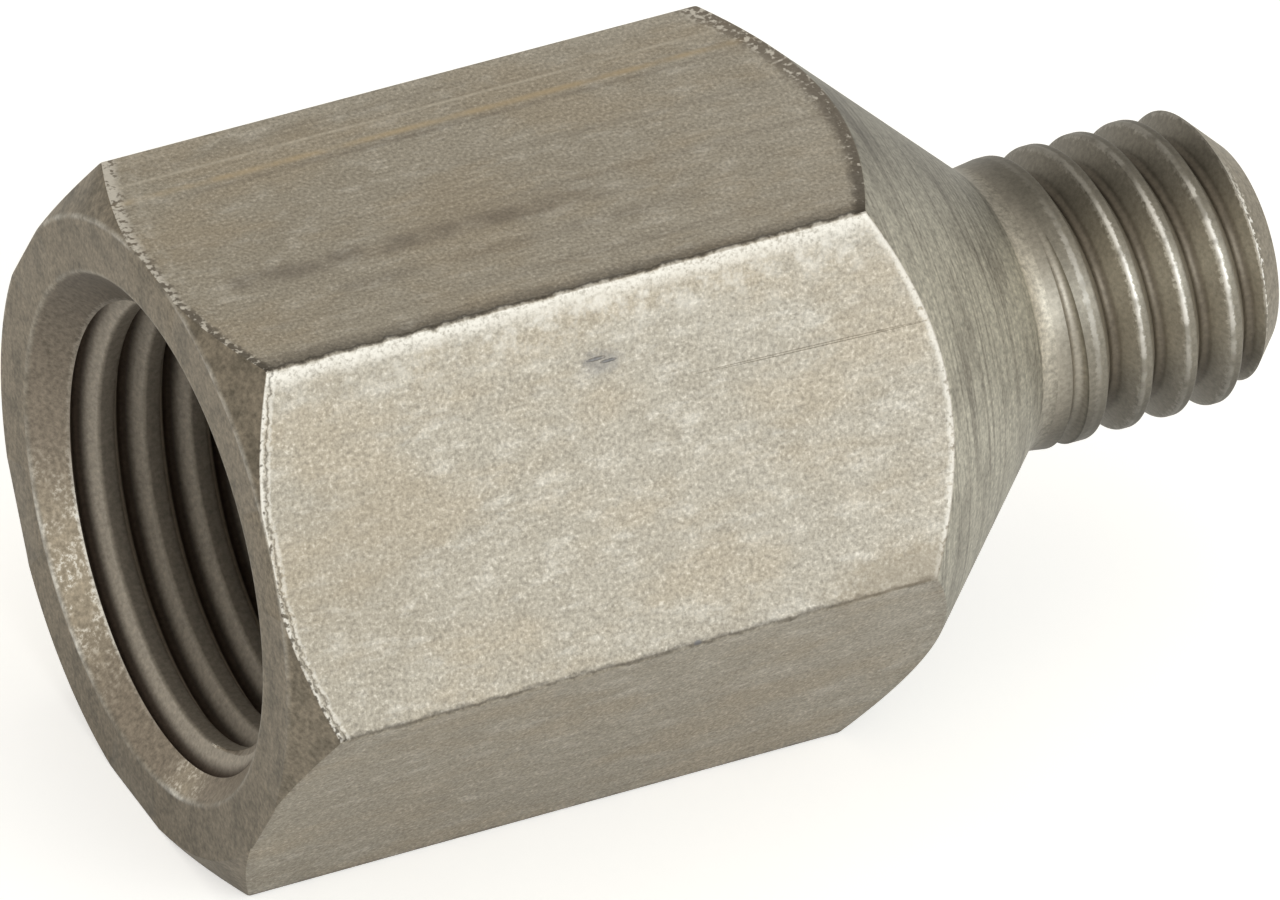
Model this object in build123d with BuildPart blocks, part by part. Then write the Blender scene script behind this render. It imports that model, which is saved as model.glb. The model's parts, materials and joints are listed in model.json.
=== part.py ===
"""Threaded extension, turned in one piece from hexagon bar.

The open end has a tapped hole, and a cone at the other end leads down to a threaded stud. Each
turn of the two threads is drawn as a ring with the thread's section, so that its crest is a whole
cylinder that can be measured.
Millimetres. The origin is on the axis of both threads, halfway along the part. X runs along
that axis towards the stud, and the bar lies on one of its flats with Z up.
"""
import os
from math import cos, radians, tan

from build123d import *

# Hexagon bar: a 13 mm size, drawn a little under it
across_flats = 12.9
bar_corner_radius = 0.12
bar_sides = 6

# Lengths along the axis: open end face to shoulder, and shoulder to the end of the stud
shoulder_length = 18.42
stud_length = 5.58

# Open end: how far its flat face reaches past the middle of the bar's flats, and the chamfer there
mouth_face_reach = 0.06
mouth_chamfer_angle = 37.0

# Tapped hole: M10 x 1 after a drill one pitch smaller, with a countersink wider than its thread
hole_thread_diameter = 10.0
hole_pitch = 1.0
hole_first_groove = 1.13
hole_thread_depth = 9.2
hole_drilled_past_thread = 1.8
drill_point_angle = 118.0
countersink_reach = 0.39
countersink_angle = 90.0

# Tail: cone, blended into a plain neck that widens from below the stud's crests up to them
tail_cone_angle = 88.0
tail_fillet_radius = 0.5
neck_length = 0.75
neck_depth = 0.105

# Stud: M6 x 1, with its crests a little under size
stud_thread_diameter = 6.0
stud_crest_undersize = 0.05
stud_pitch = 1.0
stud_first_groove = 1.58
stud_chamfer_depth = 0.825
stud_chamfer_angle = 90.0

# Form of both threads: flanks at 60 degrees, flats and depth as shares of the sharp form
thread_angle = 60.0
narrow_flat_share = 1 / 8
stud_depth_share = 17 / 24

# How far a cut runs past the surface that it opens
overrun = 0.05


def slope(angle):
    """Rise of one side of a shape over its run along the axis, for the angle between its sides."""
    return tan(radians(angle / 2))


def groove_stations(first, last, pitch):
    """Places of the grooves along the axis, one pitch apart, from the first to the last that fits."""
    count = int((last - first) / pitch) + 1
    return [first + turn * pitch for turn in range(count)]


# Radii and stations that follow from the sizes above
overall_length = shoulder_length + stud_length
open_end = -overall_length / 2
envelope_radius = across_flats / 2 / cos(radians(180 / bar_sides)) + overrun
mouth_face_radius = across_flats / 2 + mouth_face_reach
mouth_chamfer_length = (envelope_radius - mouth_face_radius) * tan(radians(mouth_chamfer_angle))
stud_radius = (stud_thread_diameter - stud_crest_undersize) / 2
stud_end_radius = stud_radius - stud_chamfer_depth
stud_chamfer_length = stud_chamfer_depth / slope(stud_chamfer_angle)
neck_radius = stud_radius - neck_depth
neck_end = shoulder_length + neck_length
cone_start = shoulder_length - (envelope_radius - neck_radius) / slope(tail_cone_angle)
bore_radius = (hole_thread_diameter - hole_pitch) / 2
bore_depth = hole_thread_depth + hole_drilled_past_thread
drill_point_length = bore_radius / slope(drill_point_angle)
countersink_radius = hole_thread_diameter / 2 + countersink_reach
countersink_depth = (countersink_radius - bore_radius) / slope(countersink_angle)
flank_slope = slope(thread_angle)

# Groove of the tapped hole: its root is the thread's large diameter
hole_root_width = hole_pitch * narrow_flat_share
hole_groove_depth = hole_thread_diameter / 2 - bore_radius
hole_mouth_width = hole_root_width + 2 * (hole_groove_depth + overrun) * flank_slope
hole_grooves = groove_stations(hole_first_groove, hole_thread_depth, hole_pitch)

# Groove of the stud: its crest flat is measured at the full thread diameter
stud_sharp_height = stud_pitch / 2 / flank_slope
stud_full_depth = stud_sharp_height * stud_depth_share
stud_root_width = stud_pitch * (1 - narrow_flat_share) - 2 * stud_full_depth * flank_slope
stud_groove_depth = stud_full_depth - stud_crest_undersize / 2
stud_mouth_width = stud_root_width + 2 * (stud_groove_depth + overrun) * flank_slope
stud_thread_start = shoulder_length + stud_first_groove
stud_thread_end = overall_length - stud_chamfer_length
stud_grooves = groove_stations(stud_thread_start, stud_thread_end, stud_pitch)

# Half section through the axis, with its own origin at the centre of the open end face
half_section = Plane.XZ.shift_origin((open_end, 0, 0))

with BuildPart() as extension:
    # Bar stock, with a flat at the bottom
    with BuildSketch(Plane.YZ.offset(open_end)) as bar_section:
        RegularPolygon(across_flats / 2, bar_sides, major_radius=False)
        fillet(bar_section.vertices(), bar_corner_radius)
    extrude(amount=overall_length)

    # Outside as turned: chamfered mouth, cone, neck and stud
    with BuildSketch(half_section) as turned_outline:
        with BuildLine():
            Polyline(
                (0, 0),
                (0, mouth_face_radius),
                (mouth_chamfer_length, envelope_radius),
                (cone_start, envelope_radius),
                (shoulder_length, neck_radius),
                (neck_end, stud_radius),
                (overall_length - stud_chamfer_length, stud_radius),
                (overall_length, stud_end_radius),
                (overall_length, 0),
                close=True,
            )
        make_face()
        outline_corners = turned_outline.vertices()
        shoulder_corner = outline_corners.sort_by_distance((shoulder_length, neck_radius))[0]
        fillet(shoulder_corner, tail_fillet_radius)
    revolve(axis=Axis.X, mode=Mode.INTERSECT)

    # Hole as drilled and countersunk
    with BuildSketch(half_section) as hole_outline:
        with BuildLine():
            Polyline(
                (-overrun, 0),
                (-overrun, countersink_radius + overrun * slope(countersink_angle)),
                (countersink_depth, bore_radius),
                (bore_depth, bore_radius),
                (bore_depth + drill_point_length, 0),
                close=True,
            )
        make_face()
    revolve(axis=Axis.X, mode=Mode.SUBTRACT)

    # Thread of the hole
    with BuildSketch(half_section) as hole_thread:
        with Locations(*[(station, bore_radius) for station in hole_grooves]):
            Polygon(
                (-hole_mouth_width / 2, -overrun),
                (hole_mouth_width / 2, -overrun),
                (hole_root_width / 2, hole_groove_depth),
                (-hole_root_width / 2, hole_groove_depth),
                align=None,
            )
    revolve(axis=Axis.X, mode=Mode.SUBTRACT)

    # Thread of the stud
    with BuildSketch(half_section) as stud_thread:
        with Locations(*[(station, stud_radius) for station in stud_grooves]):
            Polygon(
                (-stud_mouth_width / 2, overrun),
                (stud_mouth_width / 2, overrun),
                (stud_root_width / 2, -stud_groove_depth),
                (-stud_root_width / 2, -stud_groove_depth),
                align=None,
            )
    revolve(axis=Axis.X, mode=Mode.SUBTRACT)

extension.part.label = "threaded_extension"
os.makedirs("parts", exist_ok=True)
export_step(extension.part, "parts/threaded_extension.step")
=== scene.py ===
"""Dresses the threaded extension, one stainless piece turned from hexagon bar.

Its open end is tapped, its tail is a cone that leads down to a threaded stud, and it lies on a
pale floor in soft light. Metres, in the frame of the solids: X runs along the axis towards the
stud, and the bar lies on one of its flats with Z up. An outline or a place along the axis is
measured from the open end, and an angle round the axis from +Y towards +Z.
"""

import json
import logging
import math
from dataclasses import dataclass, field
from enum import Enum
from typing import Callable, NamedTuple

import bmesh
import bpy
from mathutils import Matrix, Quaternion, Vector


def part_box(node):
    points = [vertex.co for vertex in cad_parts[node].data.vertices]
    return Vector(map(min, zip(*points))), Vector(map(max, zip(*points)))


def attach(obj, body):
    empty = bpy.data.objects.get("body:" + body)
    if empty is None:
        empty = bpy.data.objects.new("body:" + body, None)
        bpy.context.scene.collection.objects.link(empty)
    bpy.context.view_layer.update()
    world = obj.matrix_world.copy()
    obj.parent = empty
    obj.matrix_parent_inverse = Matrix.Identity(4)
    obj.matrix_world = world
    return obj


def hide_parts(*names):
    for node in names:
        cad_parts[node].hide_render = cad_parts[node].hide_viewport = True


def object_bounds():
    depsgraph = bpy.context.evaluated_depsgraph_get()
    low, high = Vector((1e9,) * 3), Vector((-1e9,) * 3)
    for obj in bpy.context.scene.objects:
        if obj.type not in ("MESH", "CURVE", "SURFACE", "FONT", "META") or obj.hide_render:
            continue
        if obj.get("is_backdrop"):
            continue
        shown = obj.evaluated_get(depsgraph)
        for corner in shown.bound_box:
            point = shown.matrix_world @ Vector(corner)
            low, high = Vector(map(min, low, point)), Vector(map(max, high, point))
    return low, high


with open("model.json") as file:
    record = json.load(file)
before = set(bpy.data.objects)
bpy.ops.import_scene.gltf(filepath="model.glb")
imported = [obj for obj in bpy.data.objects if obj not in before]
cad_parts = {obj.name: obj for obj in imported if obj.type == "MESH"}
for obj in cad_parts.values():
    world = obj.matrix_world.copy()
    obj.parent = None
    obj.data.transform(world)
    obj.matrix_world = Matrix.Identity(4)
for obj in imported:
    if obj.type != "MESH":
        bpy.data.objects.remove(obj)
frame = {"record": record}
CAD_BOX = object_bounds()

NODE = "threaded_extension"
BODY = "root"
EDGE_RAMP = "inner_edge"

MM = 0.001
FULL_TURN = 2 * math.pi
RING_STEPS = 144
ARC_STEPS = 6
WELD_DISTANCE = 1e-7
SMOOTH_ANGLE = math.radians(32)
BAR_SIDES = 6
SECTOR = FULL_TURN / BAR_SIDES
SOFT = {"interpolation_type": "SMOOTHSTEP"}
WHOLE_TOLERANCE = 0.5

# Nearly all of a noise lies between these two values, on both sides of its mean
NOISE_LOW, NOISE_MEAN, NOISE_HIGH = 0.3, 0.5, 0.7

Point = tuple[float, float]
Node = bpy.types.Node
Source = bpy.types.Node | bpy.types.NodeSocket

log = logging.getLogger(NODE)


class Combine(Enum):
    """How a tool acts on the piece that it meets."""

    CUT_AWAY = "DIFFERENCE"
    KEEP_COMMON = "INTERSECT"


class Flat(Enum):
    """A flat of the bar, by the angle round the axis that it faces, in degrees."""

    TOP = 90
    FRONT = 150


class Finish(Enum):
    """Finish of a surface, as its place in the piece's list of materials."""

    DRAWN = 0
    TURNED = 1
    TAPPED = 2
    THREADED = 3


def linear(colour: str) -> tuple[float, float, float, float]:
    """Turns an sRGB hex colour to linear light.

    Args:
        colour: Six hex digits after a number sign.

    Returns:
        Red, green, blue and an alpha of one.
    """
    shares = [int(colour[place:place + 2], 16) / 255 for place in (1, 3, 5)]
    red, green, blue = (s / 12.92 if s <= 0.04045 else ((s + 0.055) / 1.055) ** 2.4 for s in shares)
    return red, green, blue, 1.0


class NodeSheet:
    """Node tree of one material or world, emptied and ready to be filled."""

    def __init__(self, owner: bpy.types.ID) -> None:
        """Empties the tree.

        Args:
            owner: Material or world that the tree belongs to.
        """
        owner.use_nodes = True
        self.tree = owner.node_tree
        self.tree.nodes.clear()

    def add(self, kind: str, *inputs: Source | float | tuple | dict, **settings: str) -> Node:
        """Adds a node with its settings and its links.

        Args:
            kind: Blender's type name of the node, without the word ShaderNode.
            inputs: A value, a socket or a node, whose first output is used, for each input in its
                order, or one dictionary that has them by name.
            settings: Attributes of the node, by name.

        Returns:
            The new node.
        """
        node = self.tree.nodes.new("ShaderNode" + kind)
        for name, value in settings.items():
            setattr(node, name, value)
        by_name = inputs[0] if inputs and isinstance(inputs[0], dict) else dict(enumerate(inputs))
        for name, value in by_name.items():
            if isinstance(value, bpy.types.Node):
                value = value.outputs[0]
            if isinstance(value, bpy.types.NodeSocket):
                self.tree.links.new(value, node.inputs[name])
            else:
                node.inputs[name].default_value = value
        return node


def select_only(piece: bpy.types.Object) -> None:
    """Selects one object and makes it the active one.

    Args:
        piece: The object.
    """
    bpy.ops.object.select_all(action="DESELECT")
    piece.select_set(True)
    bpy.context.view_layer.objects.active = piece


def select_edges(piece: bpy.types.Object, wanted: Callable[[bmesh.types.BMEdge], bool]) -> int:
    """Selects edges of a piece that is in edit mode.

    Args:
        piece: Piece in edit mode.
        wanted: Says of each edge whether it is selected.

    Returns:
        How many edges are selected.
    """
    bpy.ops.mesh.select_mode(type="EDGE")
    bpy.ops.mesh.select_all(action="DESELECT")
    mesh = bmesh.from_edit_mesh(piece.data)
    mesh.normal_update()
    chosen = [edge for edge in mesh.edges if wanted(edge)]
    for edge in chosen:
        edge.select_set(True)
    bmesh.update_edit_mesh(piece.data)
    return len(chosen)


def close_up() -> None:
    """Merges doubles, turns the normals outwards and leaves edit mode."""
    bpy.ops.mesh.select_mode(type="VERT")
    bpy.ops.mesh.select_all(action="SELECT")
    bpy.ops.mesh.remove_doubles(threshold=WELD_DISTANCE)
    bpy.ops.mesh.normals_make_consistent(inside=False)
    bpy.ops.object.mode_set(mode="OBJECT")


def draw_outline(name: str, outline: list[Point]) -> bpy.types.Object:
    """Draws an outline in the half plane above the axis and leaves it in edit mode, all selected.

    Args:
        name: Name of the new object.
        outline: Places along the axis and their radii.

    Returns:
        The new object.
    """
    bpy.ops.object.select_all(action="DESELECT")
    bpy.ops.mesh.primitive_plane_add(size=MM)
    drawn = bpy.context.object
    drawn.name = name
    bpy.ops.object.mode_set(mode="EDIT")
    bpy.ops.mesh.select_all(action="SELECT")
    bpy.ops.mesh.merge(type="CENTER")
    bpy.ops.transform.translate(value=(CAD_BOX[0].x + outline[0][0], 0, outline[0][1]))
    for here, there in zip(outline, outline[1:]):
        step = (there[0] - here[0], 0, there[1] - here[1])
        bpy.ops.mesh.extrude_region_move(TRANSFORM_OT_translate={"value": step})
    bpy.ops.mesh.select_all(action="SELECT")
    return drawn


def spin_outline(name: str, outline: list[Point]) -> bpy.types.Object:
    """Turns an outline that starts and ends on the axis into a closed solid.

    Args:
        name: Name of the new object.
        outline: Places along the axis and their radii.

    Returns:
        The solid.
    """
    solid = draw_outline(name, outline)
    bpy.ops.mesh.spin(steps=RING_STEPS, angle=FULL_TURN, center=(0, 0, 0), axis=(1, 0, 0))
    close_up()
    return solid


def round_corner(before: Point, corner: Point, after: Point, radius: float) -> list[Point]:
    """Rounds one corner of an outline.

    Args:
        before: Point before the corner.
        corner: The sharp corner.
        after: Point after the corner.
        radius: Radius of the arc.

    Returns:
        Points of the arc, from one tangent point to the other.
    """
    middle = Vector(corner)
    back = (Vector(before) - middle).normalized()
    ahead = (Vector(after) - middle).normalized()
    half_angle = back.angle(ahead) / 2
    centre = middle + (back + ahead).normalized() * radius / math.sin(half_angle)
    first = middle + back * radius / math.tan(half_angle) - centre
    last = middle + ahead * radius / math.tan(half_angle) - centre
    sweep = math.pi - 2 * half_angle
    points = []
    for step in range(ARC_STEPS + 1):
        turned = sweep * step / ARC_STEPS
        spoke = first * math.sin(sweep - turned) + last * math.sin(turned)
        points.append(tuple(centre + spoke / math.sin(sweep)))
    return points


def combine(piece: bpy.types.Object, tool: bpy.types.Object, how: Combine) -> None:
    """Combines a tool with a piece, and removes the tool.

    Args:
        piece: Piece that is changed.
        tool: Closed solid that acts on it.
        how: What the tool does.
    """
    select_only(piece)
    bpy.ops.object.modifier_add(type="BOOLEAN")
    meeting = piece.modifiers[-1]
    meeting.operation = how.value
    meeting.solver = "MANIFOLD"
    meeting.object = tool
    bpy.ops.object.modifier_apply(modifier=meeting.name)
    bpy.data.meshes.remove(tool.data)


@dataclass(frozen=True)
class ThreadForm:
    """Section of a thread's groove, rounded at its root and at the crests beside it."""

    pitch: float
    crest_land: float
    crest_radius: float
    root_radius: float
    flank_angle: float = math.radians(30)
    lip_angle: float = math.radians(12)
    lip_height: float = 0.01 * MM
    overrun: float = 0.08 * MM

    def depth(self) -> float:
        """Gives the depth of the groove below the crests."""
        return -self.half_section()[0][1]

    def half_section(self) -> list[Point]:
        """Works out one half of the section.

        Returns:
            Offsets along the axis from the groove's middle, with heights above the crests, from
            the root to just above a crest.
        """
        steep = math.pi / 2 - self.flank_angle
        arc_middle = (self.pitch - self.crest_land) / 2
        crest = []
        for step in range(ARC_STEPS + 1):
            lean = steep + (self.lip_angle - steep) * step / ARC_STEPS
            drop = self.crest_radius * (1 - math.cos(lean))
            crest.append((arc_middle - self.crest_radius * math.sin(lean), -drop))
        flank_top, flank_height = crest[0]
        flank_run = flank_top - self.root_radius * math.sin(steep)
        root_rise = self.root_radius * (1 - math.cos(steep))
        root_height = flank_height - flank_run / math.tan(self.flank_angle) - root_rise
        root = []
        for step in range(ARC_STEPS // 2 + 1):
            lean = steep * step / (ARC_STEPS // 2)
            rise = self.root_radius * (1 - math.cos(lean))
            root.append((self.root_radius * math.sin(lean), root_height + rise))
        lip = crest[-1][0] + (self.lip_height - crest[-1][1]) / math.tan(self.lip_angle)
        return root + crest + [(lip, self.lip_height), (lip, self.overrun)]

    def cutter(self, name: str, start: float, radius: float, turns: float, outward: int,
               lift: Callable[[float], float]) -> bpy.types.Object:
        """Makes the solid that a thread's groove takes away, right-handed from the top of the axis.

        Args:
            name: Name of the new object.
            start: Place of the groove's middle at its first ring.
            radius: Radius of the crests.
            turns: How many turns the groove makes.
            outward: One where the groove goes into a stud, minus one in a hole.
            lift: How far the tool stands back from its full depth, for a count of turns made.

        Returns:
            The solid.
        """
        half = self.half_section()
        section = [(-offset, height) for offset, height in half[:0:-1]] + half
        outline = [(start + offset, radius + outward * height) for offset, height in section]
        groove = draw_outline(name, outline)
        bpy.ops.mesh.edge_face_add()
        bpy.ops.object.mode_set(mode="OBJECT")
        bpy.ops.object.modifier_add(type="SCREW")
        winding = groove.modifiers[-1]
        winding.axis = "X"
        winding.angle = FULL_TURN * turns
        winding.screw_offset = self.pitch * turns
        winding.steps = winding.render_steps = round(RING_STEPS * turns)
        bpy.ops.object.modifier_apply(modifier=winding.name)
        for place, vertex in enumerate(groove.data.vertices):
            made = place // len(section) / RING_STEPS
            spoke = Vector((0, vertex.co.y, vertex.co.z)).normalized()
            vertex.co += spoke * outward * lift(made)
        bpy.ops.object.mode_set(mode="EDIT")
        bpy.ops.mesh.select_all(action="SELECT")
        bpy.ops.mesh.fill_holes(sides=0)
        close_up()
        return groove


@dataclass
class HexagonBody:
    """Hexagon bar with a chamfered mouth, and a cone that leads down to the blank of the stud."""

    length: float
    across_flats: float
    stud_radius: float
    corner_radius: float = 0.12 * MM
    turning_margin: float = 0.05 * MM
    mouth_face_reach: float = 0.06 * MM
    mouth_chamfer_angle: float = math.radians(37)
    shoulder_length: float = 18.42 * MM
    cone_half_angle: float = math.radians(44)
    shoulder_radius: float = 0.5 * MM
    neck_length: float = 0.75 * MM
    neck_depth: float = 0.105 * MM
    stud_chamfer: float = 0.825 * MM
    stud_rim_radius: float = 0.12 * MM
    scallop_round: float = 0.04 * MM
    corner_segments: int = 3
    scallop_segments: int = 2
    flat_lean: float = 0.02
    turned_lean: float = 0.3
    scallop_reach_share: float = 0.45
    scallop_length_share: float = 0.25

    def corner_reach(self) -> float:
        """Gives the radius of the bar's sharp corners."""
        return self.across_flats / 2 / math.cos(SECTOR / 2)

    def face_radius(self) -> float:
        """Gives the radius where the flat face of the mouth turns into its chamfer."""
        return self.across_flats / 2 + self.mouth_face_reach

    def neck_radius(self) -> float:
        """Gives the radius of the neck at the shoulder."""
        return self.stud_radius - self.neck_depth

    def bar(self) -> bpy.types.Object:
        """Makes the bar stock, a little too long, with its long corners rounded.

        Returns:
            The bar.
        """
        bpy.ops.object.select_all(action="DESELECT")
        bpy.ops.mesh.primitive_cylinder_add(
            vertices=BAR_SIDES,
            radius=self.corner_reach(),
            depth=self.length + 2 * self.turning_margin,
            rotation=(0, math.pi / 2, 0),
        )
        stock = bpy.context.object
        stock.name = NODE + "_dressed"
        bpy.ops.object.transform_apply(location=True, rotation=True, scale=True)
        bpy.ops.object.mode_set(mode="EDIT")
        select_edges(
            stock, lambda edge: abs(edge.verts[0].co.x - edge.verts[1].co.x) > self.length / 2)
        bpy.ops.mesh.bevel(
            offset=self.corner_radius * math.tan(SECTOR / 2),
            segments=self.corner_segments,
            affect="EDGES",
        )
        close_up()
        return stock

    def turned_outline(self) -> list[Point]:
        """Works out the outline that the outside is turned to.

        Returns:
            Places along the axis and their radii, from the open end to the end of the stud.
        """
        reach = self.corner_reach() + self.turning_margin
        chamfer_length = (reach - self.face_radius()) * math.tan(self.mouth_chamfer_angle)
        cone_length = (reach - self.neck_radius()) / math.tan(self.cone_half_angle)
        cone_start = (self.shoulder_length - cone_length, reach)
        shoulder = (self.shoulder_length, self.neck_radius())
        neck_end = (self.shoulder_length + self.neck_length, self.stud_radius)
        stud_rim = (self.length - self.stud_chamfer, self.stud_radius)
        end_rim = (self.length, self.stud_radius - self.stud_chamfer)
        end_centre = (self.length, 0)
        return [
            (0, 0),
            (0, self.face_radius()),
            (chamfer_length, reach),
            cone_start,
            *round_corner(cone_start, shoulder, neck_end, self.shoulder_radius),
            neck_end,
            stud_rim,
            *round_corner(stud_rim, end_rim, end_centre, self.stud_rim_radius),
            end_centre,
        ]

    def is_scallop(self, edge: bmesh.types.BMEdge) -> bool:
        """Tells whether an edge is where a turned end runs out on a flat or a corner of the bar.

        Args:
            edge: Edge of the turned bar.

        Returns:
            Whether it is part of a scallop.
        """
        longest = self.across_flats * self.scallop_length_share
        if len(edge.link_faces) != 2 or edge.calc_length() > longest:
            return False
        level, leaning = sorted(abs(face.normal.x) for face in edge.link_faces)
        radius = min(math.hypot(vertex.co.y, vertex.co.z) for vertex in edge.verts)
        outside = radius > self.across_flats * self.scallop_reach_share
        return level < self.flat_lean and leaning > self.turned_lean and outside

    def build(self) -> bpy.types.Object:
        """Turns the bar to its outline and softens the scalloped edges.

        Returns:
            The body, before its hole and its threads are cut.
        """
        body = self.bar()
        envelope = spin_outline("turned_envelope", self.turned_outline())
        combine(body, envelope, Combine.KEEP_COMMON)
        select_only(body)
        bpy.ops.object.mode_set(mode="EDIT")
        count = select_edges(body, self.is_scallop)
        bpy.ops.mesh.bevel(
            offset=self.scallop_round,
            segments=self.scallop_segments,
            affect="EDGES",
            clamp_overlap=False,
            loop_slide=False,
        )
        close_up()
        log.info("bar turned to its outline, %d scalloped edges softened", count)
        return body


@dataclass
class TappedHole:
    """Blind hole with a countersink, drilled from the open end and tapped."""

    bore_radius: float
    countersink_radius: float = 5.39 * MM
    countersink_rim_radius: float = 0.1 * MM
    drilled_depth: float = 11.0 * MM
    drill_half_angle: float = math.radians(59)
    overrun: float = 0.4 * MM
    first_groove: float = -0.872 * MM
    threaded_depth: float = 9.2 * MM
    fade_turns: float = 0.6
    form: ThreadForm = ThreadForm(
        pitch=1.0 * MM, crest_land=0.22 * MM, crest_radius=0.1 * MM, root_radius=0.1 * MM)

    def turns(self) -> float:
        """Gives how many turns the thread makes."""
        return (self.threaded_depth - self.first_groove) / self.form.pitch

    def drill(self) -> bpy.types.Object:
        """Makes the drill and its countersink as one solid.

        Returns:
            The solid that they take away.
        """
        sink_depth = self.countersink_radius - self.bore_radius
        point_length = self.bore_radius / math.tan(self.drill_half_angle)
        wide = self.countersink_radius + self.overrun
        rim = (0, self.countersink_radius)
        sink_end = (sink_depth, self.bore_radius)
        outline = [
            (-self.overrun, 0),
            (-self.overrun, wide),
            *round_corner((0, wide), rim, sink_end, self.countersink_rim_radius),
            sink_end,
            (self.drilled_depth, self.bore_radius),
            (self.drilled_depth + point_length, 0),
        ]
        return spin_outline("drill", outline)

    def fade(self, made: float) -> float:
        """Stands the tap back over its last part of a turn."""
        return max(0.0, (made - self.turns()) / self.fade_turns + 1) * self.form.depth()

    def cut_into(self, body: bpy.types.Object) -> None:
        """Drills, countersinks and taps a body.

        Args:
            body: Turned body.
        """
        combine(body, self.drill(), Combine.CUT_AWAY)
        tap = self.form.cutter(
            "tap", self.first_groove, self.bore_radius, self.turns(), outward=-1, lift=self.fade)
        combine(body, tap, Combine.CUT_AWAY)
        log.info("hole drilled and tapped, thread %.2f mm deep", self.form.depth() / MM)


@dataclass
class ThreadedStud:
    """Right-hand thread of the stud, with a run-out towards the shoulder."""

    radius: float
    end: float
    first_groove: float = 17.89 * MM
    run_out_start: float = 1.0
    run_out_end: float = 1.75
    past_end_turns: float = 0.6
    first_full_crest: float = 19.65 * MM
    form: ThreadForm = ThreadForm(
        pitch=1.0 * MM, crest_land=0.12 * MM, crest_radius=0.09 * MM, root_radius=0.15 * MM)

    def run_out(self, made: float) -> float:
        """Stands the die back over its first turns, where the groove starts from nothing."""
        reached = (made - self.run_out_start) / (self.run_out_end - self.run_out_start)
        return max(0.0, 1 - reached) * self.form.depth()

    def cut_into(self, body: bpy.types.Object) -> None:
        """Cuts the thread on the blank of the stud.

        Args:
            body: Turned body.
        """
        turns = (self.end - self.first_groove) / self.form.pitch + self.past_end_turns
        die = self.form.cutter(
            "die", self.first_groove, self.radius, turns, outward=1, lift=self.run_out)
        combine(body, die, Combine.CUT_AWAY)
        log.info("stud threaded, %.2f mm deep", self.form.depth() / MM)


@dataclass(frozen=True)
class Knock:
    """A dent or scratch on a flat, a long shallow hollow with its middle on the surface."""

    along: float
    across: float
    length: float
    width: float
    depth: float = 0.015 * MM
    slant: float = 0.0
    flat: Flat = Flat.FRONT
    subdivisions: int = 4

    def cut_into(self, body: bpy.types.Object, apothem: float) -> None:
        """Cuts the hollow.

        Args:
            body: Piece that was knocked.
            apothem: Distance of the struck surface from the axis.
        """
        bpy.ops.object.select_all(action="DESELECT")
        bpy.ops.mesh.primitive_ico_sphere_add(subdivisions=self.subdivisions, radius=1.0)
        hollow = bpy.context.object
        facing = math.radians(self.flat.value)
        outward = Vector((0, math.cos(facing), math.sin(facing)))
        sideways = Vector((0, -math.sin(facing), math.cos(facing)))
        along = Vector((math.cos(self.slant), 0, 0)) + sideways * math.sin(self.slant)
        aside = outward.cross(along)
        off_axis = outward * apothem + sideways * self.across
        centre = Vector((CAD_BOX[0].x + self.along, 0, 0)) + off_axis
        axes = [along * self.length / 2, aside * self.width / 2, outward * self.depth, centre]
        rows = [[axis[place] for axis in axes] for place in range(3)]
        hollow.matrix_world = Matrix(rows + [[0, 0, 0, 1]])
        bpy.ops.object.transform_apply(location=True, rotation=True, scale=True)
        combine(body, hollow, Combine.CUT_AWAY)


@dataclass(frozen=True)
class Ramp:
    """Two values of a pattern or measure: the least shows at the first, the most at the second."""

    first: float
    second: float
    most: float = 1.0
    least: float = 0.0

    def over(self, value: Source) -> dict:
        """Gives what a node needs to map a value through the ramp.

        Args:
            value: The pattern or measure.

        Returns:
            The node's inputs, by name.
        """
        return {
            "Value": value, "From Min": self.first, "From Max": self.second,
            "To Min": self.least, "To Max": self.most}


class Places:
    """Where a point of the piece lies, on the sheet of the finish that asks."""

    def __init__(self, nodes: NodeSheet) -> None:
        """Adds the nodes that measure the place.

        Args:
            nodes: Sheet of the finish.
        """
        self.add = add = nodes.add
        self.point = add("TexCoord").outputs["Object"]
        parts = add("SeparateXYZ", self.point).outputs
        off_axis = add("VectorMath", self.point, (0, 1, 1), operation="MULTIPLY")
        self.along = add("Math", parts["X"], CAD_BOX[0].x, operation="SUBTRACT")
        self.side = parts["Y"]
        self.height = parts["Z"]
        self.radius = add("VectorMath", off_axis, operation="LENGTH").outputs["Value"]
        self.angle = add("Math", parts["Z"], parts["Y"], operation="ARCTAN2")


@dataclass(frozen=True)
class Band:
    """A strip round a middle value, full at its core and gone at its reach."""

    middle: float
    reach: float
    most: float = 1.0
    core: float = 0.0

    def over(self, at: Places, value: Source) -> Node:
        """Finds how much of the strip a value shows.

        Args:
            at: Place of the point.
            value: The value that the strip lies in.

        Returns:
            A node that goes from nought to the most.
        """
        offset = at.add("Math", value, self.middle, operation="SUBTRACT")
        gap = at.add("Math", offset, operation="ABSOLUTE")
        return at.add("MapRange", Ramp(self.reach, self.core, self.most).over(gap), **SOFT)


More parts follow.
